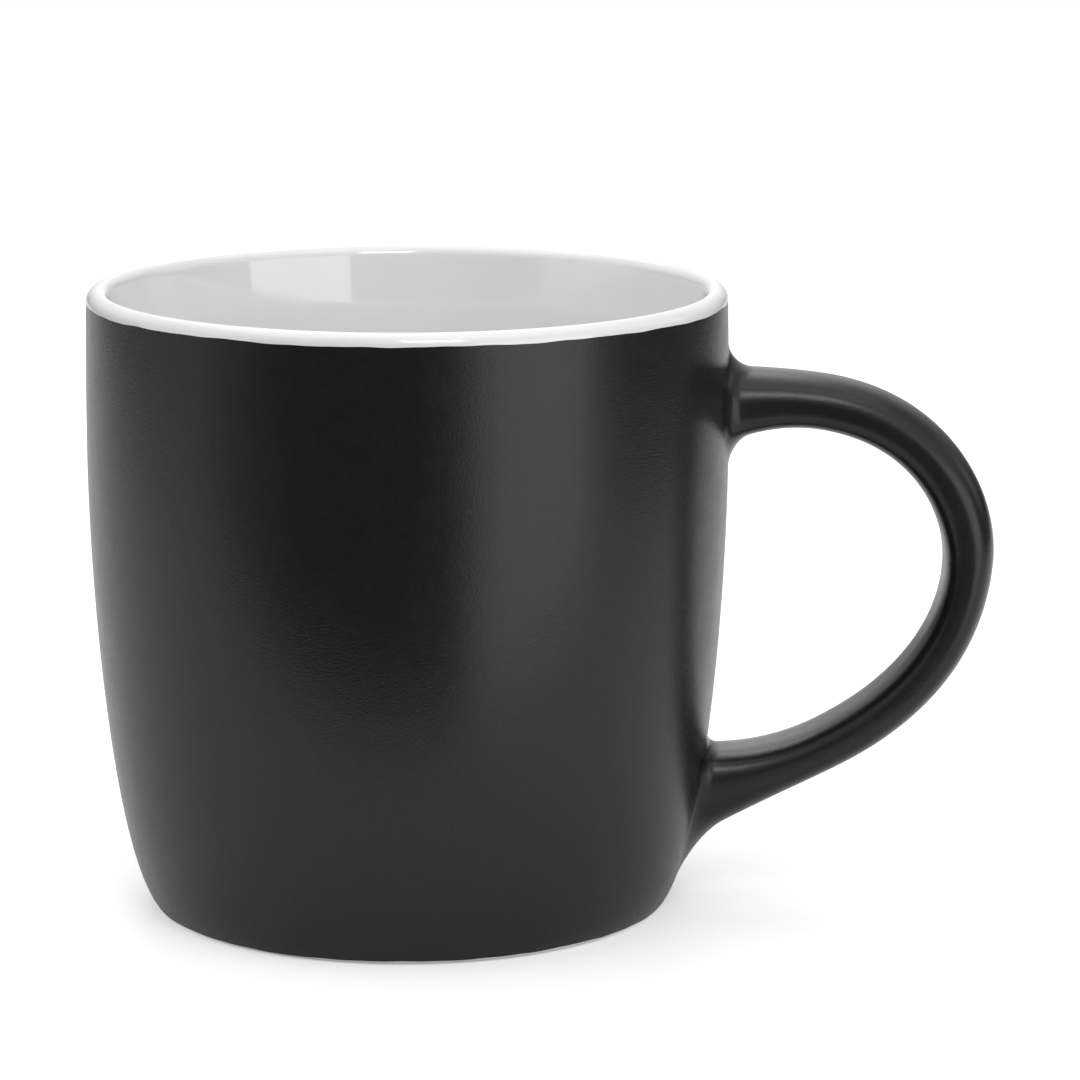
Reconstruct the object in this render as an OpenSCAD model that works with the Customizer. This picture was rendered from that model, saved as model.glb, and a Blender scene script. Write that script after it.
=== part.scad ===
// Barrel mug in glazed ceramic: a clay cup with a looped handle luted to its side.
// Origin: centre of the foot, on the surface that the mug stands on. +Z is up and
// the handle points along +X. Points of a profile are [radius, height].

/* [Cup] */
// Outside diameter at the lip, over the glaze
rim_d = 90; // [76:0.5:116]
// Height from the foot to the top of the lip, over the glaze
cup_h = 88.5; // [72:0.5:116]
// Outside diameter of the flat ring that the mug stands on
foot_d = 70; // [54:0.5:84]
// How far the belly stands out past the lip on each side
belly_out = 0.2; // [0:0.1:3]
// Depth of the widest level below the top of the lip
belly_drop = 21.9; // [14:0.1:34]
// How long the wall stays upright below the belly, as a share of the way down
belly_fullness = 0.355; // [0.2:0.005:0.5]
// How long the wall keeps the slope of the heel, as a share of the way down
heel_fullness = 0.133; // [0.05:0.001:0.3]
// Slope of the wall where it turns under into the foot, degrees from upright
heel_slope = 39.6; // [20:0.1:60]

/* [Walls] */
// Thickness of the rounded lip, over both glazes
lip_t = 3.2; // [2.4:0.1:5]
// Thickness of the clay wall where it meets the inside corner
base_wall_t = 4; // [3:0.1:6]
// Thickness of the clay floor
floor_t = 5; // [3:0.1:8]
// Radius of the inside corner between wall and floor
corner_r = 12; // [6:0.5:20]
// Length of the stretch inside the lip that opens outwards
flare_l = 7; // [3:0.5:15]
// Slope of that stretch, in degrees from upright
flare_slope = 7.5; // [0:0.5:12]

/* [Foot] */
// Width of the foot ring, with its rounded edges
foot_w = 3.4; // [2.6:0.1:6]
// Depth of the recess under the base
recess_h = 2.6; // [1.8:0.1:5]
// Radius of the outer edge of the foot ring
foot_round = 1.5; // [0.6:0.1:2]
// Radius of the inner edge of the foot ring
foot_inner_round = 0.8; // [0.3:0.1:1]
// Radius between the foot ring and the base
recess_round = 1.6; // [0.8:0.1:1.6]

/* [Glaze] */
// Thickness of every coat of glaze
glaze_t = 0.3; // [0.15:0.05:0.5]
// How far the liner glaze comes down past the round of the lip
lip_cover = 0.1; // [0.1:0.1:4]

/* [Handle] */
// How far the handle stands out past the belly, over the glaze
handle_reach = 37.7; // [28:0.1:50]
// Depth of the upper joint below the top of the lip
upper_drop = 16.5; // [14:0.1:26]
// Height of the lower joint above the foot
lower_rise = 16.2; // [14:0.1:26]
// Height of the outermost point, as a share of the way from the lower joint to the upper
bow_share = 0.61; // [0.4:0.01:0.75]
// Climb of the handle as it leaves the upper joint, in degrees
upper_climb = 8.7; // [-5:0.1:20]
// Climb of the handle as it leaves the lower joint, in degrees
lower_climb = 12.6; // [0:0.1:30]
// Fullness of the loop after the upper joint, as a share of its reach
upper_pull = 0.767; // [0.5:0.001:0.95]
// Fullness of the loop above its outermost point, as a share of the height there
bow_top_pull = 0.42; // [0.3:0.01:0.6]
// Fullness of the loop below its outermost point, as a share of the height there
bow_low_pull = 0.25; // [0.15:0.01:0.5]
// Fullness of the loop before the lower joint, as a share of its reach
lower_pull = 0.9; // [0.5:0.01:0.95]
// Width of the handle
grip_w = 13; // [9:0.1:18]
// Thickness of the handle's upper run
upper_t = 7.5; // [5:0.1:10]
// Thickness of the handle's lower run
lower_t = 6.6; // [5:0.1:10]
// Width of the handle at its joints
joint_w = 14; // [9:0.1:20]
// Thickness of the handle at the upper joint
upper_joint_t = 10.2; // [6:0.1:14]
// Thickness of the handle at the lower joint
lower_joint_t = 12.4; // [6:0.1:16]
// Length over which the handle swells into the upper joint
upper_swell = 13.5; // [8:0.5:20]
// Length over which the handle swells into the lower joint
lower_swell = 18; // [8:0.5:24]

/* [Joints] */
// Thickness of the slip between the cup and each end of the handle
slip_t = 0.6; // [0.4:0.1:1.2]
// Fillet radius on top of the upper joint
upper_outer_fillet = 4; // [2:0.1:5]
// Fillet radius under the upper joint
upper_inner_fillet = 4; // [2:0.1:5]
// Fillet radius under the lower joint
lower_outer_fillet = 5; // [2:0.1:6]
// Fillet radius on top of the lower joint
lower_inner_fillet = 2.4; // [2:0.1:5]
// Fillet radius at the sides of both joints
side_fillet = 2.2; // [1.5:0.1:4]

/* [Hidden] */
$fn = 144;

// Steps along the curves of the cup's profile
wall_steps = 24;
inside_steps = 12;
corner_steps = 9;
lip_steps = 12;
edge_steps = 6;
// Points round a section of the handle, and sections along it
ring_n = 24;
loop_steps = 34;
// Rings in a fillet, and across the end of the handle
fillet_steps = 5;
pad_steps = 3;
// How a section bulges: 2 is an ellipse, and more is squarer
outer_power = 2.3;
inner_power = 3.5;
// Share of a corner's tangent that makes a cubic curve round
round_share = 0.5523;
// How gently the inside wall bends into the flare
flare_blend = 5;
// Shares of each half of the loop over which the grip thins
thin_from = 0.7;
thin_over = 0.6;
// Places along the loop that are surely inside the wall and surely outside it
loop_in = 0.15;
loop_out = 0.5;
// Small step for slopes, and halvings that find a point on the wall
slope_step = 0.002;
halvings = 22;
// Least distance of a fillet from the heel and from the edge of the liner
toe_gap = 0.8;
// Distance between a fillet and the plain run of the handle
run_gap = 1;

// ---------- general functions ----------
function unit(v) = v / norm(v);
function turned(v) = [-v[1], v[0]];
function flipped(v) = [for (i = [len(v) - 1 : -1 : 0]) v[i]];
function part_of(v, from, to) = [for (i = [from : to]) v[i]];
function eased(x) = let (c = min(max(x, 0), 1)) c * c * (3 - 2 * c);
function arc(c, r, from, to, steps) =
    [for (i = [0 : steps]) let (a = from + (to - from) * i / steps) c + r * [cos(a), sin(a)]];
function cubic(p, t) =
    pow(1 - t, 3) * p[0] + 3 * pow(1 - t, 2) * t * p[1]
    + 3 * (1 - t) * t * t * p[2] + pow(t, 3) * p[3];
function cubic_line(p, steps) = [for (i = [0 : steps]) cubic(p, i / steps)];

// Outward normal of a profile at its point i: the clay lies to the right of the line
function outward(line, i) =
    unit(turned(line[min(i + 1, len(line) - 1)] - line[max(i - 1, 0)]));
function coated(line) = [for (i = [0 : len(line) - 1]) line[i] + glaze_t * outward(line, i)];

// ---------- profile of the clay ----------
lip_r = lip_t / 2 - glaze_t;
lip_c = [rim_d / 2 - lip_t / 2, cup_h - lip_t / 2];
border_z = lip_c[1] - lip_cover;
belly = [rim_d / 2 + belly_out - glaze_t, cup_h - belly_drop];
foot_c = [foot_d / 2, foot_round];
heel = foot_c + foot_round * [cos(heel_slope), -sin(heel_slope)];
wall_drop = belly[1] - heel[1];
heel_pull = min(heel_fullness * wall_drop, (belly[0] - heel[0]) / sin(heel_slope));
foot_in = foot_d / 2 - foot_w;
inner_edge_r = min(foot_inner_round, (foot_w - foot_round) / 2);
recess_edge_r = min(recess_round, recess_h - inner_edge_r);

// Outside above the belly: a shallow curve from the lip, upright at the belly
function upper_wall_r(z) =
    belly[0] - (belly[0] - lip_c[0] - lip_r) * pow((z - belly[1]) / (lip_c[1] - belly[1]), 2);
upper_wall = [for (i = [0 : edge_steps - 1])
    let (z = border_z + (belly[1] - border_z) * i / edge_steps) [upper_wall_r(z), z]];

// Outside below the belly: one curve that turns under into the foot
lower_wall = cubic_line([belly,
    belly - [0, belly_fullness * wall_drop],
    heel + heel_pull * [sin(heel_slope), cos(heel_slope)],
    heel], wall_steps);

// Radius of the clay's outside at height z, and of the coat of glaze on it
outer_line = concat([lip_c + [lip_r, 0]], upper_wall, lower_wall);
outer_table = [for (p = outer_line) [p[1], p[0]]];
outer_coat = coated(outer_line);
coat_table = [for (p = outer_coat) [p[1], p[0]]];
function clay_r(z) = lookup(z, outer_table);
function surface_r(z, lift) = clay_r(z) + (lookup(z, coat_table) - clay_r(z)) * lift / glaze_t;

// Inside: flat floor, round corner, near-upright wall, then a flare up to the lip
floor_z = recess_h + floor_t;
corner_z = floor_z + corner_r;
corner_slope = (clay_r(corner_z + 1) - clay_r(corner_z - 1)) / 2;
corner_top = [clay_r(corner_z) - base_wall_t, corner_z];
corner_meet = corner_top - corner_r * [corner_slope, 1];
corner_foot = corner_meet - [corner_r, 0];
flare_dir = [sin(flare_slope), cos(flare_slope)];
flare_top = lip_c + lip_r * [-cos(flare_slope), sin(flare_slope)];
flare_foot = flare_top - flare_l * flare_dir;
inside_pull = (flare_foot[1] - corner_z) / 3;
corner_line = cubic_line([corner_foot,
    corner_foot + round_share * (corner_meet - corner_foot),
    corner_top + round_share * (corner_meet - corner_top),
    corner_top], corner_steps);
inside_line = cubic_line([corner_top,
    corner_top + inside_pull * [corner_slope, 1],
    flare_foot - flare_blend * flare_dir,
    flare_foot], inside_steps);

liner_line = concat([[0, floor_z]],
    corner_line,
    part_of(inside_line, 1, inside_steps),
    arc(lip_c, lip_r, 180 - flare_slope, 0, lip_steps));
body_line = concat(upper_wall, lower_wall);
foot_line = concat(
    part_of(arc(foot_c, foot_round, -heel_slope, -90, edge_steps), 1, edge_steps),
    arc([foot_in + inner_edge_r, inner_edge_r], inner_edge_r, 270, 180, edge_steps));
base_line = concat(
    arc([foot_in - recess_edge_r, recess_h - recess_edge_r], recess_edge_r, 0, 90, edge_steps),
    [[0, recess_h]]);
clay_line = concat(liner_line, body_line, foot_line, base_line);
coat_line = coated(clay_line);

// Places along the line where one surface ends and the next begins
border_i = len(liner_line);
heel_i = border_i + len(body_line) - 1;
base_i = heel_i + len(foot_line) + 1;
end_i = len(clay_line) - 1;

// ---------- centreline and section of the handle ----------
upper_root = [clay_r(cup_h - upper_drop), cup_h - upper_drop];
lower_root = [clay_r(lower_rise), lower_rise];
bow_t = upper_t + (lower_t - upper_t) * eased((1 - thin_from) / thin_over);
bow = [rim_d / 2 + belly_out + handle_reach - bow_t / 2,
    lower_rise + bow_share * (upper_root[1] - lower_rise)];
upper_loop = [upper_root,
    upper_root + upper_pull * (bow[0] - upper_root[0]) * [cos(upper_climb), sin(upper_climb)],
    bow + [0, bow_top_pull * (upper_root[1] - bow[1])],
    bow];
lower_loop = [bow,
    bow - [0, bow_low_pull * (bow[1] - lower_rise)],
    lower_root + lower_pull * (bow[0] - lower_root[0]) * [cos(lower_climb), sin(lower_climb)],
    lower_root];

// The loop runs from 0 at the upper joint, through 1 at its bow, to 2 at the lower joint
function loop_at(s) = s < 1 ? cubic(upper_loop, s) : cubic(lower_loop, s - 1);
function loop_dir(s) = unit(loop_at(s + slope_step) - loop_at(s - slope_step));
function swell(s) = let (x = loop_at(s)[0])
    s < 1
    ? pow(max(0, 1 - (x - upper_root[0]) / upper_swell), 2)
    : pow(max(0, 1 - (x - lower_root[0]) / lower_swell), 2);
function loop_t(s) =
    upper_t + (lower_t - upper_t) * eased((s - thin_from) / thin_over)
    + swell(s) * (s < 1 ? upper_joint_t - upper_t : lower_joint_t - lower_t);
function loop_w(s) = grip_w + swell(s) * (joint_w - grip_w);

// Point k of the clay section at s, shrunk by q and lifted outwards by e
function section_point(s, k, q, e) = let (
    a = 360 * k / ring_n,
    t = loop_t(s) / 2 - glaze_t,
    w = loop_w(s) / 2 - glaze_t,
    n = cos(a) > 0 ? outer_power : inner_power,
    u = sign(cos(a)) * pow(abs(cos(a)), 2 / n),
    v = sign(sin(a)) * pow(abs(sin(a)), 2 / n),
    out = unit([sign(u) * pow(abs(u), n - 1) / t, sign(v) * pow(abs(v), n - 1) / w]))
    q * [u * t, v * w] + e * out;
function loop_point(s, k, q, e) = let (
    c = loop_at(s),
    side = turned(loop_dir(s)),
    m = section_point(s, k, q, e))
    [c[0] + side[0] * m[0], m[1], c[1] + side[1] * m[0]];
function loop_ring(s, e) = [for (k = [0 : ring_n - 1]) loop_point(s, k, 1, e)];

// ---------- where the handle meets the wall ----------
// Place along the loop at which point k stands at a given height over the clay wall
function past_wall(s, k, q, e, lift) = let (p = loop_point(s, k, q, e))
    norm([p[0], p[1]]) > surface_r(p[2], lift);
function wall_place(inside, outside, k, q, e, lift, left) = let (mid = (inside + outside) / 2)
    left == 0 ? mid
    : past_wall(mid, k, q, e, lift) ? wall_place(inside, mid, k, q, e, lift, left - 1)
    : wall_place(mid, outside, k, q, e, lift, left - 1);
function place(upper, k, q, e, lift) = upper
    ? wall_place(-loop_in, loop_out, k, q, e, lift, halvings)
    : wall_place(2 + loop_in, 2 - loop_out, k, q, e, lift, halvings);
function wall_point(upper, k, q, e, lift) = loop_point(place(upper, k, q, e, lift), k, q, e);

// Largest outer fillet that the wall has room for, up to radius f
function has_room(upper, f) = let (z = wall_point(upper, 0, 1, f, 0)[2])
    z < border_z - toe_gap && z > heel[1] + toe_gap;
function roomy(upper, good, bad, left) = let (mid = (good + bad) / 2)
    left == 0 ? good
    : has_room(upper, mid) ? roomy(upper, mid, bad, left - 1)
    : roomy(upper, good, mid, left - 1);
function fitted(upper, f) = has_room(upper, f) ? f : roomy(upper, 0, f, halvings);
upper_outer_r = fitted(true, upper_outer_fillet);
lower_outer_r = fitted(false, lower_outer_fillet);

function end_fillet(upper, outer) = upper
    ? (outer ? upper_outer_r : upper_inner_fillet)
    : (outer ? lower_outer_r : lower_inner_fillet);
// Fillet radius at point k: it changes smoothly round the joint and is least at the sides
function fillet(upper, k) = let (c = cos(360 * k / ring_n))
    side_fillet + (end_fillet(upper, c > 0) - side_fillet) * c * c;
// Ring at turn a of the fillet, 90 on the wall and 0 on the handle, under a coat of e
function fillet_ring(upper, a, e) = [for (k = [0 : ring_n - 1])
    let (f = fillet(upper, k))
    wall_point(upper, k, 1, f - (f - e) * cos(a), f - (f - e) * sin(a))];
function end_ring(upper, q, lift) =
    [for (k = [0 : ring_n - 1]) wall_point(upper, k, q, 0, lift)];
// Edge of the joint on the wall: the coat stands straight out from the clay there
function toe_ring(upper) = fillet_ring(upper, 90, 0);
function toe_coat_ring(upper) = [for (p = toe_ring(upper))
    [sqrt(pow(surface_r(p[2], glaze_t), 2) - p[1] * p[1]), p[1], p[2]]];

// Rings of a fillet from the wall to the handle, without the one at the toe
function fillet_rings(upper, e) =
    [for (i = [1 : fillet_steps]) fillet_ring(upper, 90 - 90 * i / fillet_steps, e)];
// Rings across the end of the handle, from its middle to its edge
function pad_rings(upper, lift) =
    [for (i = [1 : pad_steps]) end_ring(upper, i / pad_steps, lift)];

// The plain run of the handle lies clear of both fillets
run_from = max([for (k = [0 : ring_n - 1]) place(true, k, 1, 0, fillet(true, k) + run_gap)]);
run_to = min([for (k = [0 : ring_n - 1]) place(false, k, 1, 0, fillet(false, k) + run_gap)]);
function run_rings(e) =
    [for (i = [0 : loop_steps]) loop_ring(run_from + (run_to - run_from) * i / loop_steps, e)];

// ---------- solids made of rings ----------
function flat_list(v) = [for (a = v, b = a) b];
function total(v) = v * [for (a = v) 1];
function mean_point(ring) =
    [for (axis = [0 : 2]) total([for (p = ring) p[axis]]) / len(ring)];
function volume6(p, f) = total([for (t = f) cross(p[t[0]], p[t[1]]) * p[t[2]]]);
// Two triangles between neighbouring rings; turn swaps the diagonal
function quad(a, b, c, d, turn) = turn ? [[a, b, c], [b, d, c]] : [[a, b, d], [a, d, c]];

// Closed solid through rings; from turn_from on, its diagonals match rings met in reverse
module ring_solid(rings, looped, turn_from, turn_to) {
    n = len(rings[0]);
    m = len(rings);
    centres = looped ? [] : [mean_point(rings[0]), mean_point(rings[m - 1])];
    points = concat(flat_list(rings), centres);
    sides = [for (i = [0 : looped ? m - 1 : m - 2], j = [0 : n - 1])
        let (i2 = (i + 1) % m, j2 = (j + 1) % n)
        each quad(i * n + j, i * n + j2, i2 * n + j, i2 * n + j2, i >= turn_from && i < turn_to)];
    ends = looped ? [] : [for (j = [0 : n - 1]) let (j2 = (j + 1) % n)
        each [[j2, j, m * n], [(m - 1) * n + j, (m - 1) * n + j2, m * n + 1]]];
    faces = concat(sides, ends);
    polyhedron(points, volume6(points, faces) > 0 ? [for (t = faces) flipped(t)] : faces);
}

// Ring of profile between the clay and its coat, from point a to point b of the line
module coat_band(a, b) {
    rotate_extrude()
        polygon(concat(part_of(coat_line, a, b), flipped(part_of(clay_line, a, b))));
}

// ---------- sub-parts ----------
module cup_body() {
    color("ivory")
        rotate_extrude()
            polygon(clay_line);
}

module handle() {
    color("antiquewhite")
        ring_solid(concat(
            pad_rings(true, slip_t),
            [fillet_ring(true, 0, 0)],
            run_rings(0),
            [fillet_ring(false, 0, 0)],
            flipped(pad_rings(false, slip_t))), false, 0, 0);
}

// Slip luting one end of the handle to the cup, wiped to a fillet all round
module joint_slip(upper) {
    under = concat(pad_rings(upper, 0), [toe_ring(upper)], fillet_rings(upper, 0));
    over = flipped(pad_rings(upper, slip_t));
    rings = concat(under, over);
    ring_solid(rings, false, upper ? len(under) - 1 : len(rings), len(rings));
}

module upper_joint_slip() {
    color("wheat")
        joint_slip(true);
}

module lower_joint_slip() {
    color("wheat")
        joint_slip(false);
}

module liner_glaze() {
    color("white")
        coat_band(0, border_i);
}

// Hole in the wall's coat, where the slip of a joint sits on the clay
module joint_window(upper) {
    translate([rim_d / 4, 0, 0])
        rotate([90, 0, 90])
            linear_extrude(rim_d / 2)
                polygon([for (p = toe_ring(upper)) [p[1], p[2]]]);
}

module body_glaze() {
    color("#262626")
        difference() {
            coat_band(border_i, heel_i);
            joint_window(true);
            joint_window(false);
        }
}

module handle_glaze() {
    outside = concat([toe_coat_ring(true)], fillet_rings(true, glaze_t), run_rings(glaze_t),
        flipped(fillet_rings(false, glaze_t)), [toe_coat_ring(false)]);
    inside = concat([toe_ring(true)], fillet_rings(true, 0), run_rings(0),
        flipped(fillet_rings(false, 0)), [toe_ring(false)]);
    n = len(outside);
    color("#262626")
        ring_solid(concat(outside, flipped(inside)), true, n, 2 * n - 1);
}

module base_glaze() {
    color("white")
        coat_band(base_i, end_i);
}

cup_body();
handle();
upper_joint_slip();
lower_joint_slip();
liner_glaze();
body_glaze();
handle_glaze();
base_glaze();
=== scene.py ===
"""Barrel mug in glazed ceramic: its coats of glaze, its clay, its light and its camera.

Lengths are in metres and angles in degrees. Points of a profile are (radius, height).
"""
import math

import bmesh
import bpy
import numpy as np
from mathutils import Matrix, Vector


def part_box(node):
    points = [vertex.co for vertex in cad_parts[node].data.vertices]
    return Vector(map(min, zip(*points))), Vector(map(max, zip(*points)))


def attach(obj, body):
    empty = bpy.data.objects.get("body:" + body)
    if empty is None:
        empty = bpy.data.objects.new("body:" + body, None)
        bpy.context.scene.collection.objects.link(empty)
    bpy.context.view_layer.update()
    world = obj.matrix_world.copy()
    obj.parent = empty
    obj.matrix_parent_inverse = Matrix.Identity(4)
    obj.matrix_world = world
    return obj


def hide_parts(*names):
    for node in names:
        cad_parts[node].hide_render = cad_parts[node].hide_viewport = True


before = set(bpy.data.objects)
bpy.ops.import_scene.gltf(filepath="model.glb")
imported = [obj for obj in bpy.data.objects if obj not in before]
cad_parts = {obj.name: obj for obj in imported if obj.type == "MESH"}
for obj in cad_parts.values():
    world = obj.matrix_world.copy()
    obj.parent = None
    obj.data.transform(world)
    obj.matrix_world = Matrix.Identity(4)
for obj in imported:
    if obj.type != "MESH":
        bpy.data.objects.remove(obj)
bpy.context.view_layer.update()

# ---------- sizes: the whole ones from the frame, the shape values as in the design ----------
TENTH_MM = 4  # decimals of a metre
RIM_R = round(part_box("liner_glaze")[1].x, TENTH_MM)
CUP_H = round(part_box("liner_glaze")[1].z, TENTH_MM)
RECESS_H = round(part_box("base_glaze")[1].z, TENTH_MM)
REACH_X = round(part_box("handle_glaze")[1].x, TENTH_MM)

FOOT_R = 0.035
BELLY_OUT, BELLY_DROP = 0.0002, 0.0219
BELLY_FULLNESS, HEEL_FULLNESS, HEEL_SLOPE = 0.355, 0.133, 39.6
LIP_T, BASE_WALL_T, FLOOR_T, CORNER_R = 0.0032, 0.004, 0.005, 0.012
FLARE_L, FLARE_SLOPE, FLARE_BLEND = 0.007, 7.5, 0.005
FOOT_W, FOOT_ROUND, FOOT_INNER_ROUND, RECESS_ROUND = 0.0034, 0.0015, 0.0008, 0.0016
GLAZE_T, LIP_COVER = 0.0003, 0.0001

UPPER_DROP, LOWER_RISE, BOW_SHARE = 0.0165, 0.0162, 0.61
UPPER_CLIMB, LOWER_CLIMB = 8.7, 12.6
UPPER_PULL, BOW_TOP_PULL, BOW_LOW_PULL, LOWER_PULL = 0.767, 0.42, 0.25, 0.9
GRIP_W, UPPER_T, LOWER_T = 0.013, 0.0075, 0.0066
JOINT_W, UPPER_JOINT_T, LOWER_JOINT_T = 0.014, 0.0102, 0.0124
UPPER_SWELL, LOWER_SWELL = 0.0135, 0.018
UPPER_FILLETS, LOWER_FILLETS = (0.004, 0.004), (0.005, 0.0024)  # outer side, inner side
SIDE_FILLET = 0.0022
OUTER_POWER, INNER_POWER = 2.3, 3.5
THIN_FROM, THIN_OVER = 0.7, 0.6
LOOP_IN, LOOP_OUT = 0.15, 0.5
ROUND_SHARE = 0.5523

# ---------- fineness of the lines and meshes ----------
UPPER_WALL_POINTS, LOWER_WALL_POINTS = 60, 240
FLOOR_POINTS, CORNER_POINTS, INSIDE_POINTS, FLARE_POINTS = 16, 24, 60, 12
LIP_STEPS, FOOT_STEPS, FOOT_INNER_STEPS, RECESS_STEPS, BASE_POINTS = 32, 12, 8, 12, 16
UNDER_LIP_POINTS = 12  # points of the outer line that the liner's line takes in
SECTION_POINTS = 2000  # on a quarter of the handle's section, to space its ring
SLOPE_STEP = 0.001     # step for the slope of the wall
LOOP_STEP = 0.002      # step for the direction of the handle's loop
CREASE = 50            # a sharper edge than this stays sharp

COLUMNS = 320          # round the cup
WINDOW_COLUMNS = 36    # across the patch of wall around a joint
WINDOW_ROWS = 24       # down that patch
RING = 2 * (WINDOW_COLUMNS + WINDOW_ROWS)  # round the handle
TOP_ROWS, MIDDLE_ROWS = 5, 28              # above the upper patch, between the two
WINDOW_ABOVE, WINDOW_BELOW = 0.0122, 0.0120  # room around the middle of a joint
PATCH_RINGS, FILLET_RINGS, RUN_RINGS = 8, 10, 140
HALVINGS = 30          # to find where a point of the handle meets the wall
AROUND = np.arange(COLUMNS) * 2 * math.pi / COLUMNS


# ---------- curves ----------
def unit(v):
    return v / np.linalg.norm(v, axis=-1, keepdims=True)


def arc(centre, radius, start, end, steps):
    a = np.radians(np.linspace(start, end, steps + 1))
    return np.array(centre) + radius * np.stack([np.cos(a), np.sin(a)], -1)


def cubic(points, t):
    t = np.asarray(t, float)[..., None]
    a, b, c, d = (np.asarray(p, float) for p in points)
    return (1 - t) ** 3 * a + 3 * (1 - t) ** 2 * t * b + 3 * (1 - t) * t ** 2 * c + t ** 3 * d


def eased(x):
    x = np.clip(x, 0, 1)
    return x * x * (3 - 2 * x)


def joined(*lines):
    """One line through several, each starting where the last one ended."""
    return np.concatenate([lines[0]] + [line[1:] for line in lines[1:]])


def normals(line):
    """Unit normals on the left of a line."""
    d = unit(np.gradient(line, axis=0))
    return np.stack([-d[:, 1], d[:, 0]], -1)


def lifted(line, lift):
    return line + lift * normals(line)


def along(line):
    """Distance travelled along a line, at each of its points."""
    return np.concatenate([[0], np.cumsum(np.linalg.norm(np.diff(line, axis=0), axis=1))])


def at_distance(line, distance):
    s = along(line)
    return np.stack([np.interp(distance, s, line[:, 0]), np.interp(distance, s, line[:, 1])], -1)


# ---------- profile of the clay, as in the design ----------
lip_r = LIP_T / 2 - GLAZE_T
lip_c = np.array([RIM_R - LIP_T / 2, CUP_H - LIP_T / 2])
border_z = lip_c[1] - LIP_COVER
belly = np.array([RIM_R + BELLY_OUT - GLAZE_T, CUP_H - BELLY_DROP])
foot_c = np.array([FOOT_R, FOOT_ROUND])
heel_dir = np.array([math.sin(math.radians(HEEL_SLOPE)), math.cos(math.radians(HEEL_SLOPE))])
heel = foot_c + FOOT_ROUND * np.array([heel_dir[1], -heel_dir[0]])
wall_drop = belly[1] - heel[1]
foot_in = FOOT_R - FOOT_W


def upper_wall(z):
    share = (z - belly[1]) / (lip_c[1] - belly[1])
    return np.stack([belly[0] - (belly[0] - lip_c[0] - lip_r) * share ** 2, z], -1)


outer_line = joined(
    upper_wall(np.linspace(lip_c[1], belly[1], UPPER_WALL_POINTS)),
    cubic([belly, belly - [0, BELLY_FULLNESS * wall_drop],
           heel + HEEL_FULLNESS * wall_drop * heel_dir, heel],
          np.linspace(0, 1, LOWER_WALL_POINTS)))
outer_coat = lifted(outer_line, GLAZE_T)


def clay_r(z):
    return np.interp(z, outer_line[::-1, 1], outer_line[::-1, 0])


def surface_r(z, lift):
    """Radius at height z, at a lift over the clay wall."""
    coat_r = np.interp(z, outer_coat[::-1, 1], outer_coat[::-1, 0])
    return clay_r(z) + (coat_r - clay_r(z)) * lift / GLAZE_T


def inside_line():
    """From the middle of the floor up the inside wall and the flare to the lip."""
    floor_z = RECESS_H + FLOOR_T
    corner_z = floor_z + CORNER_R
    rise = clay_r(corner_z + SLOPE_STEP) - clay_r(corner_z - SLOPE_STEP)
    corner_dir = np.array([rise / (2 * SLOPE_STEP), 1])
    corner_top = np.array([clay_r(corner_z) - BASE_WALL_T, corner_z])
    corner_meet = corner_top - CORNER_R * corner_dir
    corner_foot = corner_meet - [CORNER_R, 0]
    slope = math.radians(FLARE_SLOPE)
    flare_dir = np.array([math.sin(slope), math.cos(slope)])
    flare_top = lip_c + lip_r * np.array([-flare_dir[1], flare_dir[0]])
    flare_foot = flare_top - FLARE_L * flare_dir
    inside_pull = (flare_foot[1] - corner_z) / 3
    return joined(
        np.linspace([0, floor_z], corner_foot, FLOOR_POINTS),
        cubic([corner_foot, corner_foot + ROUND_SHARE * (corner_meet - corner_foot),
               corner_top + ROUND_SHARE * (corner_meet - corner_top), corner_top],
              np.linspace(0, 1, CORNER_POINTS)),
        cubic([corner_top, corner_top + inside_pull * corner_dir,
               flare_foot - FLARE_BLEND * flare_dir, flare_foot],
              np.linspace(0, 1, INSIDE_POINTS)),
        np.linspace(flare_foot, flare_top, FLARE_POINTS),
        arc(lip_c, lip_r, 180 - FLARE_SLOPE, 0, LIP_STEPS))


foot_line = joined(
    arc(foot_c, FOOT_ROUND, -HEEL_SLOPE, -90, FOOT_STEPS),
    arc([foot_in + FOOT_INNER_ROUND, FOOT_INNER_ROUND], FOOT_INNER_ROUND, 270, 180,
        FOOT_INNER_STEPS))
base_line = joined(
    arc([foot_in - RECESS_ROUND, RECESS_H - RECESS_ROUND], RECESS_ROUND, 0, 90, RECESS_STEPS),
    np.linspace([foot_in - RECESS_ROUND, RECESS_H], [0, RECESS_H], BASE_POINTS))


# ---------- handle, as in the design ----------
upper_root = np.array([clay_r(CUP_H - UPPER_DROP), CUP_H - UPPER_DROP])
lower_root = np.array([clay_r(LOWER_RISE), LOWER_RISE])
bow_t = UPPER_T + (LOWER_T - UPPER_T) * eased((1 - THIN_FROM) / THIN_OVER)
bow = np.array([REACH_X - bow_t / 2, LOWER_RISE + BOW_SHARE * (upper_root[1] - LOWER_RISE)])


def climb(angle):
    return np.array([math.cos(math.radians(angle)), math.sin(math.radians(angle))])


UPPER_LOOP = [upper_root, upper_root + UPPER_PULL * (bow[0] - upper_root[0]) * climb(UPPER_CLIMB),
              bow + [0, BOW_TOP_PULL * (upper_root[1] - bow[1])], bow]
LOWER_LOOP = [bow, bow - [0, BOW_LOW_PULL * (bow[1] - LOWER_RISE)],
              lower_root + LOWER_PULL * (bow[0] - lower_root[0]) * climb(LOWER_CLIMB), lower_root]


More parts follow.
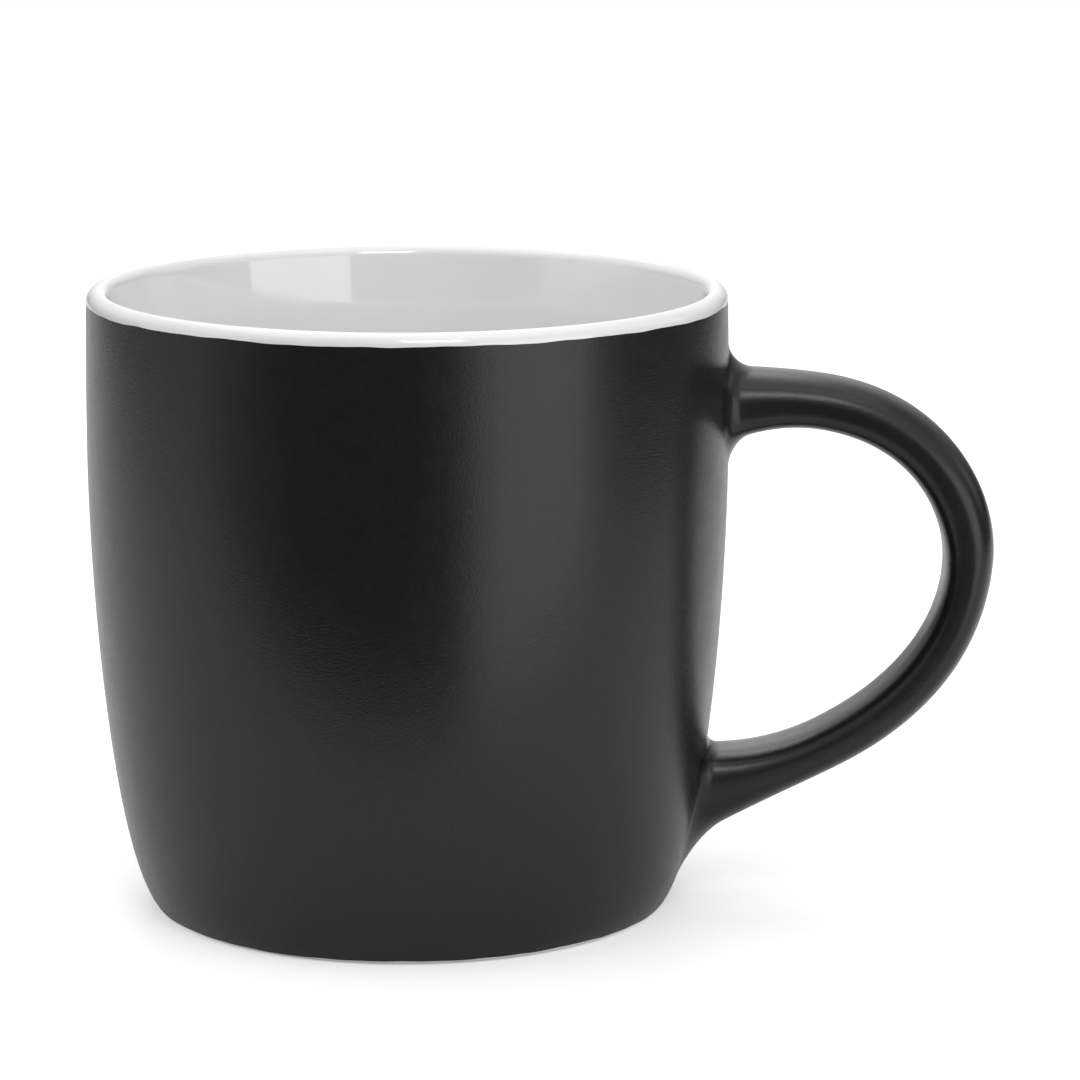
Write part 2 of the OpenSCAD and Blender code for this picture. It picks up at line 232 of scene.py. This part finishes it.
def loop_at(s):
    """The handle's middle line: 0 at the upper joint, 1 at the bow and 2 at the lower joint."""
    s = np.asarray(s, float)
    return np.where(s[..., None] < 1, cubic(UPPER_LOOP, s), cubic(LOWER_LOOP, s - 1))


def loop_side(s):
    """Unit vector across the loop, on its outer side."""
    d = unit(loop_at(s + LOOP_STEP) - loop_at(s - LOOP_STEP))
    return np.stack([-d[..., 1], d[..., 0]], -1)


def swell(s):
    """How far the handle has swollen: 1 at the wall and 0 on its plain run."""
    x = loop_at(s)[..., 0]
    upper = np.clip(1 - (x - upper_root[0]) / UPPER_SWELL, 0, None) ** 2
    lower = np.clip(1 - (x - lower_root[0]) / LOWER_SWELL, 0, None) ** 2
    return np.where(s < 1, upper, lower)


def loop_t(s):
    run = UPPER_T + (LOWER_T - UPPER_T) * eased((s - THIN_FROM) / THIN_OVER)
    return run + swell(s) * np.where(s < 1, UPPER_JOINT_T - UPPER_T, LOWER_JOINT_T - LOWER_T)


def section(a, t, w):
    """Point of the handle's section at angle a, and its outward normal, for half sizes t and w."""
    n = np.where(np.cos(a) > 0, OUTER_POWER, INNER_POWER)
    u = np.sign(np.cos(a)) * np.abs(np.cos(a)) ** (2 / n)
    v = np.sign(np.sin(a)) * np.abs(np.sin(a)) ** (2 / n)
    out = unit(np.stack([np.sign(u) * np.abs(u) ** (n - 1) / t,
                         np.sign(v) * np.abs(v) ** (n - 1) / w], -1))
    return np.stack([u * t, v * w], -1), out


def handle_point(s, a, lift):
    """Point of the handle at s along its loop and a round its section, lifted off the clay."""
    t = loop_t(s) / 2 - GLAZE_T
    w = (GRIP_W + swell(s) * (JOINT_W - GRIP_W)) / 2 - GLAZE_T
    point, out = section(a, t, w)
    m = point + np.asarray(lift)[..., None] * out
    at, side = loop_at(s), loop_side(s)
    return np.stack([at[..., 0] + side[..., 0] * m[..., 0], m[..., 1],
                     at[..., 1] + side[..., 1] * m[..., 0]], -1)


def ring_angles():
    """Angles of a ring's points, an even distance apart within each quarter."""
    quarter = RING // 4
    halves = []
    for start in (0, 90):
        a = np.radians(np.linspace(start, start + 90, SECTION_POINTS))
        line, _ = section(a, UPPER_T / 2, GRIP_W / 2)
        s = along(line)
        halves.append(np.interp(np.arange(quarter) * s[-1] / quarter, s, a))
    half = np.concatenate(halves)
    return np.concatenate([half, [math.pi], 2 * math.pi - half[:0:-1]])


ANGLES = ring_angles()
RING_COS = np.cos(np.arange(RING) * 2 * math.pi / RING)


def place(upper, lift, height):
    """Where along the loop each point of a ring stands at a height over the clay wall."""
    inside = np.full(RING, -LOOP_IN if upper else 2 + LOOP_IN)
    outside = np.full(RING, LOOP_OUT if upper else 2 - LOOP_OUT)
    for _ in range(HALVINGS):
        middle = (inside + outside) / 2
        p = handle_point(middle, ANGLES, lift)
        past = np.hypot(p[:, 0], p[:, 1]) > surface_r(p[:, 2], height)
        outside = np.where(past, middle, outside)
        inside = np.where(past, inside, middle)
    return (inside + outside) / 2


def fillet_rings(upper):
    """Rings from the toe on the wall to the handle, and where along the loop the last one is."""
    outer, inner = UPPER_FILLETS if upper else LOWER_FILLETS
    f = SIDE_FILLET + (np.where(RING_COS > 0, outer, inner) - SIDE_FILLET) * RING_COS ** 2
    rings = []
    for turn in np.radians(np.linspace(90, 0, FILLET_RINGS + 1)):
        lift = f - (f - GLAZE_T) * math.cos(turn)
        s = place(upper, lift, f - (f - GLAZE_T) * math.sin(turn))
        rings.append(handle_point(s, ANGLES, lift))
    return rings, s


# ---------- edges of the coats, drawn by hand and so a little uneven ----------
def wave(angle, parts):
    """Sum of waves round the cup: (times round, phase, size)."""
    return sum(size * np.cos(times * angle + phase) for times, phase, size in parts)


BORDER_WAVE = ((2, 0.4, 0.00004), (5, 2.1, 0.00005), (9, 4.0, 0.00004), (17, 1.2, 0.00004),
               (31, 5.1, 0.00003), (53, 3.3, 0.00002))
FOOT_WAVE = ((1, 0.9, 0.00012), (3, 2.6, 0.00006), (8, 0.7, 0.00005), (19, 4.4, 0.00004),
             (41, 1.9, 0.00003))
BARE_STRIP = 0.00038   # least height of bare clay above the heel
EDGE_FADE = 0.004      # the unevenness dies out over this distance
LAST_STEP = 0.0003     # least distance of the liner's last row but one from its edge

coat_length = along(outer_coat)[-1]
border_at = np.interp(-border_z, -outer_coat[:, 1], along(outer_coat))


def coat_at(angle, distance):
    """Point on the outside of the black coat, at a distance down from the top of the wall."""
    p = at_distance(outer_coat, distance)
    return np.stack([p[..., 0] * np.cos(angle), p[..., 0] * np.sin(angle), p[..., 1]], -1)


def down_to(z):
    return np.interp(-z, -outer_coat[:, 1], along(outer_coat))


def wall_rows():
    """Distances of the rows of the wall, and the first rows of the two windows."""
    upper_z, lower_z = CUP_H - UPPER_DROP, LOWER_RISE
    marks = [border_at, down_to(upper_z + WINDOW_ABOVE), down_to(upper_z - WINDOW_BELOW),
             down_to(lower_z + WINDOW_ABOVE), coat_length]
    counts = [TOP_ROWS, WINDOW_ROWS, MIDDLE_ROWS, WINDOW_ROWS]
    rows = joined(*[np.linspace(a, b, n + 1) for a, b, n in zip(marks, marks[1:], counts)])
    return rows, TOP_ROWS, TOP_ROWS + WINDOW_ROWS + MIDDLE_ROWS


# ---------- meshes ----------
def material_slot(obj, material):
    obj.data.materials.clear()
    obj.data.materials.append(material)


def new_piece(name, points, faces, material):
    mesh = bpy.data.meshes.new(name)
    mesh.from_pydata([tuple(p) for p in points], [], faces)
    piece = bpy.data.objects.new(name, mesh)
    bpy.context.scene.collection.objects.link(piece)
    material_slot(piece, material)
    return piece


def tidy_mesh(piece, outward):
    """Drops loose points and turns every face out: outward(place, normal) is then positive."""
    bm = bmesh.new()
    bm.from_mesh(piece.data)
    bmesh.ops.delete(bm, geom=[v for v in bm.verts if not v.link_faces], context="VERTS")
    bmesh.ops.recalc_face_normals(bm, faces=bm.faces)
    if sum(outward(f.calc_center_median(), f.normal) * f.calc_area() for f in bm.faces) < 0:
        bmesh.ops.reverse_faces(bm, faces=bm.faces)
    bm.to_mesh(piece.data)
    bm.free()


def smooth(piece):
    piece.data.shade_smooth()
    piece.data.set_sharp_from_angle(angle=math.radians(CREASE))


def thicken(piece):
    """Gives a skin the thickness of the glaze, on the inner side."""
    skin = piece.modifiers.new("thickness", "SOLIDIFY")
    skin.thickness, skin.offset, skin.use_even_offset = GLAZE_T, -1, True
    solid = bpy.data.meshes.new_from_object(
        piece.evaluated_get(bpy.context.evaluated_depsgraph_get()))
    piece.modifiers.clear()
    piece.data = solid


def as_coat(skin, outward):
    """Turns an open skin into a closed coat of glaze."""
    tidy_mesh(skin, outward)
    thicken(skin)
    smooth(skin)
    return skin


def revolved(name, rows, material, poles):
    """Surface through rows of points; poles says if the first and last shrink to a point."""
    rows = list(rows)
    points, starts = [], []
    for i, row in enumerate(rows):
        pole = (i == 0 and poles[0]) or (i == len(rows) - 1 and poles[1])
        starts.append((len(points), 1 if pole else COLUMNS))
        points.extend([row.mean(0)] if pole else row)
    faces = []
    for (a, na), (b, nb) in zip(starts, starts[1:]):
        for j in range(COLUMNS):
            k = (j + 1) % COLUMNS
            ring = [a + j % na, a + k % na, b + k % nb, b + j % nb]
            faces.append(list(dict.fromkeys(ring)))
    return new_piece(name, points, faces, material)


def spun_rows(line):
    """Rows of points for a profile turned round the axis."""
    return [np.stack([r * np.cos(AROUND), r * np.sin(AROUND), np.full(COLUMNS, z)], -1)
            for r, z in line]


def window_edge(first_row, flipped_rows):
    """Rows and columns round a window, from the middle of its outer edge."""
    half = WINDOW_COLUMNS // 2
    top, bottom = first_row, first_row + WINDOW_ROWS
    step = 1
    if flipped_rows:
        top, bottom, step = bottom, top, -1
    edge = [(top, c) for c in range(0, half)]
    edge += [(r, half) for r in range(top, bottom, step)]
    edge += [(bottom, c) for c in range(half, -half, -1)]
    edge += [(r, -half) for r in range(bottom, top, -step)]
    edge += [(top, c) for c in range(-half, 0)]
    return edge


def black_coat(material):
    """The coat outside: wall, fillets and handle as one skin."""
    rows, upper_first, lower_first = wall_rows()
    top_shift = wave(AROUND, BORDER_WAVE)
    foot_lift = BARE_STRIP + wave(AROUND, FOOT_WAVE)
    grid = rows[:, None] + np.zeros(COLUMNS)
    grid += top_shift * (1 - eased((rows - rows[0]) / EDGE_FADE))[:, None]
    grid -= foot_lift * (1 - eased((rows[-1] - rows) / EDGE_FADE))[:, None]
    points = list(coat_at(np.broadcast_to(AROUND, grid.shape), grid).reshape(-1, 3))
    faces = []

    def vertex(row, column):
        return row * COLUMNS + column % COLUMNS

    half = WINDOW_COLUMNS // 2
    for row in range(len(rows) - 1):
        windowed = any(first <= row < first + WINDOW_ROWS for first in (upper_first, lower_first))
        for column in range(COLUMNS):
            if windowed and (column < half or column >= COLUMNS - half):
                continue
            faces.append([vertex(row, column), vertex(row + 1, column),
                          vertex(row + 1, column + 1), vertex(row, column + 1)])

    def bridge(ring_a, ring_b):
        for k in range(RING):
            k2 = (k + 1) % RING
            faces.append([ring_a[k], ring_a[k2], ring_b[k2], ring_b[k]])

    def add_ring(ring):
        points.extend(ring)
        return list(range(len(points) - RING, len(points)))

    ends, middles = {}, {}
    for upper, first in ((True, upper_first), (False, lower_first)):
        edge = window_edge(first, flipped_rows=not upper)
        edge_angle = np.array([c * 2 * math.pi / COLUMNS for _, c in edge])
        edge_down = np.array([grid[r, c % COLUMNS] for r, c in edge])
        rings, middles[upper] = fillet_rings(upper)
        toe_angle = np.arctan2(rings[0][:, 1], rings[0][:, 0])
        toe_down = down_to(rings[0][:, 2])
        last = [vertex(r, c) for r, c in edge]
        for m in range(PATCH_RINGS - 1, 0, -1):
            share = m / PATCH_RINGS
            ring = add_ring(coat_at(toe_angle + (edge_angle - toe_angle) * share,
                                    toe_down + (edge_down - toe_down) * share))
            bridge(last, ring)
            last = ring
        for ring in rings:
            ring = add_ring(ring)
            bridge(last, ring)
            last = ring
        ends[upper] = last
    last = ends[True]
    for i in range(1, RUN_RINGS):
        s = middles[True] + (middles[False] - middles[True]) * i / RUN_RINGS
        ring = add_ring(handle_point(s, ANGLES, GLAZE_T))
        bridge(last, ring)
        last = ring
    bridge(last, ends[False])

    skin = new_piece("black_coat", points, faces, material)
    return as_coat(skin, lambda at, normal: Vector((at.x, at.y, 0)).dot(normal))


def liner_coat(material):
    """The white coat inside, over the lip and down to the edge of the black."""
    line = lifted(joined(inside_line(), outer_line[:UNDER_LIP_POINTS]), GLAZE_T)
    distance = along(line)
    falling = slice(-2 * UNDER_LIP_POINTS, None)  # the line's end, past the top of the lip
    border = np.interp(-border_z, -line[falling, 1], distance[falling])
    shift = wave(AROUND, BORDER_WAVE)
    rows = []
    for d in np.append(distance[distance < border - LAST_STEP], border):
        fade = 1 - eased((border - d) / (LIP_T / 2))
        p = at_distance(line, d + shift * fade)
        rows.append(np.stack([p[:, 0] * np.cos(AROUND), p[:, 0] * np.sin(AROUND), p[:, 1]], -1))
    skin = revolved("liner_coat", rows, material, poles=(True, False))
    return as_coat(skin, lambda at, normal: normal.z)


def base_coat(material):
    """The white coat in the recess under the base."""
    line = lifted(base_line, GLAZE_T)
    line[0], line[-1] = [foot_in - GLAZE_T, base_line[0, 1]], [0, RECESS_H - GLAZE_T]
    skin = revolved("base_coat", spun_rows(line), material, poles=(False, True))
    return as_coat(skin, lambda at, normal: -normal.z)


def clay_cup(material):
    """The whole clay of the cup, under its coats."""
    line = joined(inside_line(), outer_line, foot_line, base_line)
    cup = revolved("clay_cup", spun_rows(line), material, poles=(True, True))
    tidy_mesh(cup, lambda at, normal: at.dot(normal))
    smooth(cup)
    return cup


# ---------- materials ----------
class Nodes:
    """A short way to build a material's nodes."""

    def __init__(self, name):
        self.material = bpy.data.materials.new(name)
        self.material.use_nodes = True
        self.tree = self.material.node_tree
        self.shader = self.tree.nodes["Principled BSDF"]
        self.place = self.new("ShaderNodeTexCoord").outputs["Object"]

    def new(self, kind, **settings):
        node = self.tree.nodes.new(kind)
        for key, value in settings.items():
            setattr(node, key, value)
        return node

    def link(self, output, socket):
        self.tree.links.new(output, socket)

    def noise(self, grain, detail, roughness=0.5):
        """Noise whose features are about one grain across, in metres."""
        node = self.new("ShaderNodeTexNoise")
        node.inputs["Scale"].default_value = 1 / grain
        node.inputs["Detail"].default_value = detail
        node.inputs["Roughness"].default_value = roughness
        self.link(self.place, node.inputs["Vector"])
        return node.outputs["Fac"]

    def ramp(self, value, stops):
        """Colours by value; a stop with one number is a grey."""
        node = self.new("ShaderNodeValToRGB")
        elements = node.color_ramp.elements
        while len(elements) < len(stops):
            elements.new(0.5)
        for element, (position, colour) in zip(elements, stops):
            element.position = position
            element.color = (*colour, 1) if len(colour) == 3 else (colour[0],) * 3 + (1,)
        self.link(value, node.inputs["Fac"])
        return node.outputs["Color"]

    def bump(self, height, distance, strength, under=None):
        node = self.new("ShaderNodeBump")
        node.inputs["Strength"].default_value = strength
        node.inputs["Distance"].default_value = distance
        self.link(height, node.inputs["Height"])
        if under is not None:
            self.link(under, node.inputs["Normal"])
        return node.outputs["Normal"]


def matt_black():
    """Matt glaze: a fine grain, faint mottling and a slight unevenness of gloss."""
    n = Nodes("matt black glaze")
    mottling = n.noise(grain=0.0009, detail=3)
    n.link(n.ramp(mottling, [(0.3, (0.0070, 0.0070, 0.0071)), (0.7, (0.0096, 0.0095, 0.0095))]),
           n.shader.inputs["Base Color"])
    gloss = n.noise(grain=0.004, detail=2)
    n.link(n.ramp(gloss, [(0.3, (0.24,)), (0.7, (0.28,))]), n.shader.inputs["Roughness"])
    coarse = n.bump(n.noise(grain=0.0009, detail=1), distance=0.00002, strength=0.4)
    fine = n.bump(n.noise(grain=0.00028, detail=2, roughness=0.6), distance=0.000025,
                  strength=1.0, under=coarse)
    n.link(fine, n.shader.inputs["Normal"])
    n.shader.inputs["IOR"].default_value = 1.44
    return n.material


def white_gloss():
    """Gloss glaze: clear, with the slight waviness of a poured coat."""
    n = Nodes("white gloss glaze")
    depth = n.noise(grain=0.012, detail=2)
    n.link(n.ramp(depth, [(0.3, (0.75,)), (0.7, (0.77,))]), n.shader.inputs["Base Color"])
    n.shader.inputs["Roughness"].default_value = 0.07
    n.shader.inputs["IOR"].default_value = 1.75
    wavy = n.bump(n.noise(grain=0.007, detail=1), distance=0.00003, strength=0.5)
    n.link(wavy, n.shader.inputs["Normal"])
    return n.material


def bare_clay(name, light, dark, grain):
    """Unglazed clay: dull, fine grained, with sparse darker specks."""
    n = Nodes(name)
    specks = n.noise(grain, detail=4, roughness=0.7)
    n.link(n.ramp(specks, [(0.22, dark), (0.36, light), (1.0, light)]),
           n.shader.inputs["Base Color"])
    n.shader.inputs["Roughness"].default_value = 0.85
    sandy = n.bump(n.noise(grain / 2, detail=3, roughness=0.6), distance=0.00002, strength=0.6)
    n.link(sandy, n.shader.inputs["Normal"])
    return n.material


# ---------- studio ----------
MUG_MIDDLE = Vector((0, 0, CUP_H / 2))


def direction(azimuth, elevation):
    """Azimuth 0 points at the camera's side, and 90 along +X."""
    a, e = math.radians(azimuth), math.radians(elevation)
    return Vector((math.sin(a) * math.cos(e), -math.cos(a) * math.cos(e), math.sin(e)))


def softbox(name, azimuths, elevations, radiance, distance=0.9):
    """A panel that fills a range of azimuth and elevation, as the mug sees it."""
    (a0, a1), (e0, e1) = azimuths, elevations
    width = 2 * distance * math.tan(math.radians(a1 - a0) / 2)
    height = 2 * distance * math.tan(math.radians(e1 - e0) / 2)
    data = bpy.data.lights.new(name, "AREA")
    data.shape, data.size, data.size_y = "RECTANGLE", width, height
    data.energy = radiance * math.pi * width * height
    lamp = bpy.data.objects.new(name, data)
    facing = direction((a0 + a1) / 2, (e0 + e1) / 2)
    lamp.location = MUG_MIDDLE + facing * distance
    lamp.rotation_mode = "QUATERNION"
    lamp.rotation_quaternion = facing.to_track_quat("Z", "Y")
    lamp.visible_camera = False
    bpy.context.scene.collection.objects.link(lamp)


# Brightness of the room by azimuth, near the horizon and well above it. The wall mirrors the
# lower part, so that is dim at the camera's side, has a soft bright band at each side of the
# mug, and turns bright straight behind it, where the back of the lip mirrors it
ROOM_LOW = ((-180, 1.30), (-172, 0.80), (-160, 0.15), (-110, 0.25), (-80, 0.50), (-60, 0.28),
            (-42, 0.08), (8, 0.06), (25, 0.20), (75, 0.30), (90, 0.06), (155, 0.03),
            (172, 0.70), (180, 1.30))
ROOM_HIGH = ((-180, 1.20), (-150, 0.85), (-110, 0.85), (-80, 1.10), (-55, 0.95), (-25, 0.55),
             (0, 0.90), (30, 1.10), (60, 0.95), (90, 0.60), (130, 0.40), (155, 0.75),
             (180, 1.20))
HORIZON, HIGH = -0.05, 0.50  # sines of the elevations where the one turns into the other


def room():
    """A white room to the camera, and to the mug one with a brightness by direction."""
    world = bpy.data.worlds.new("room")
    bpy.context.scene.world = world
    world.use_nodes = True
    tree = world.node_tree
    tree.nodes.clear()

    def node(kind, inputs=(), **settings):
        made = tree.nodes.new(kind)
        for key, value in settings.items():
            setattr(made, key, value)
        for socket, value in inputs:
            if isinstance(value, bpy.types.NodeSocket):
                tree.links.new(value, made.inputs[socket])
            else:
                made.inputs[socket].default_value = value
        return made

    def levels(share, stops):
        ramp = node("ShaderNodeValToRGB", [("Fac", share)])
        elements = ramp.color_ramp.elements
        while len(elements) < len(stops):
            elements.new(0.5)
        for element, (angle, level) in zip(elements, stops):
            element.position = (angle + 180) / 360
            element.color = (level, level, level, 1)
        return ramp.outputs["Color"]

    place = node("ShaderNodeTexCoord").outputs["Generated"]
    split = node("ShaderNodeSeparateXYZ", [("Vector", place)])
    front = node("ShaderNodeMath", [(0, split.outputs["Y"]), (1, -1.0)], operation="MULTIPLY")
    azimuth = node("ShaderNodeMath", [(0, split.outputs["X"]), (1, front.outputs[0])],
                   operation="ARCTAN2").outputs[0]
    share = node("ShaderNodeMapRange", [("Value", azimuth), ("From Min", -math.pi),
                                        ("From Max", math.pi)]).outputs[0]
    height = node("ShaderNodeMapRange", [("Value", split.outputs["Z"]), ("From Min", HORIZON),
                                         ("From Max", HIGH)], interpolation_type="SMOOTHSTEP")
    blend = node("ShaderNodeMix", data_type="RGBA")
    ends = {end.identifier: end for end in (*blend.inputs, *blend.outputs)}
    tree.links.new(height.outputs[0], ends["Factor_Float"])
    tree.links.new(levels(share, ROOM_LOW), ends["A_Color"])
    tree.links.new(levels(share, ROOM_HIGH), ends["B_Color"])
    light = node("ShaderNodeBackground", [("Color", ends["Result_Color"])])
    white = node("ShaderNodeBackground", [("Color", (1, 1, 1, 1))])
    seen = node("ShaderNodeLightPath").outputs["Is Camera Ray"]
    mix = node("ShaderNodeMixShader", [("Fac", seen), (1, light.outputs[0]),
                                       (2, white.outputs[0])])
    node("ShaderNodeOutputWorld", [("Surface", mix.outputs[0])])


# The table ends a hand's width in front of the mug, so the wall mirrors the dim room past it
TABLE_LEFT, TABLE_RIGHT, TABLE_FRONT, TABLE_BACK = -0.50, 0.39, -0.13, 1.5
TABLE_GLOW = 0.38  # white added for the camera, as a photographer whitens the ground


def table():
    """A white table under the mug, and past its edge the white room."""
    corners = [(TABLE_LEFT, TABLE_FRONT, 0), (TABLE_RIGHT, TABLE_FRONT, 0),
               (TABLE_RIGHT, TABLE_BACK, 0), (TABLE_LEFT, TABLE_BACK, 0)]
    n = Nodes("table")
    n.shader.inputs["Base Color"].default_value = (0.80, 0.80, 0.80, 1)
    n.shader.inputs["Roughness"].default_value = 0.6
    n.shader.inputs["Specular IOR Level"].default_value = 0.2
    glow = n.new("ShaderNodeEmission")
    glow.inputs["Strength"].default_value = TABLE_GLOW
    both = n.new("ShaderNodeAddShader")
    n.link(n.shader.outputs[0], both.inputs[0])
    n.link(glow.outputs[0], both.inputs[1])
    seen = n.new("ShaderNodeMixShader")
    n.link(n.new("ShaderNodeLightPath").outputs["Is Camera Ray"], seen.inputs["Fac"])
    n.link(n.shader.outputs[0], seen.inputs[1])
    n.link(both.outputs[0], seen.inputs[2])
    n.link(seen.outputs[0], n.tree.nodes["Material Output"].inputs["Surface"])
    new_piece("table", corners, [[0, 1, 2, 3]], n.material)


CAMERA_AT = Vector((0.0186, -0.666, 0.1848))
CAMERA_PITCH = 11.27
LENS_MM, SENSOR_MM = 159.6, 36


def camera():
    data = bpy.data.cameras.new("camera")
    data.lens, data.sensor_width = LENS_MM, SENSOR_MM
    data.clip_start = 0.05
    cam = bpy.data.objects.new("camera", data)
    cam.location = CAMERA_AT
    cam.rotation_euler = (math.radians(90 - CAMERA_PITCH), 0, 0)
    bpy.context.scene.collection.objects.link(cam)
    bpy.context.scene.camera = cam


def studio():
    room()
    table()
    softbox("overhead", (-35, 35), (64, 120), 0.65, distance=0.8)
    softbox("front_top", (2, 20), (29, 50), 5.0)
    softbox("back_window", (-190, -160), (35, 60), 1.5)
    softbox("right_window", (25, 68), (-3, 14), 1.8)
    softbox("right_window_low", (25, 68), (-30, -3), 1.55)
    softbox("left_window", (-105, -55), (0, 14), 0.5)
    softbox("rear_window", (100, 118), (6, 24), 0.6)
    bpy.context.scene.view_settings.view_transform = "Standard"
    camera()


# ---------- the mug ----------
def finish_node(name, material):
    material_slot(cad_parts[name], material)


black, white = matt_black(), white_gloss()
clay = bare_clay("fired clay", (0.86, 0.855, 0.84), (0.72, 0.70, 0.67), 0.0006)
slip = bare_clay("fired slip", (0.79, 0.77, 0.73), (0.66, 0.62, 0.56), 0.0005)

pieces = [
    (black_coat(black), "matt_black_glaze", ("body_glaze", "handle_glaze")),
    (liner_coat(white), "white_gloss_glaze", ("liner_glaze",)),
    (base_coat(white), "white_gloss_glaze", ("base_glaze",)),
    (clay_cup(clay), "fired_clay", ("cup_body",)),
]
for piece, slot, nodes in pieces:
    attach(piece, "root")
    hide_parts(*nodes)
finish_node("handle", clay)
finish_node("upper_joint_slip", slip)
finish_node("lower_joint_slip", slip)

studio()
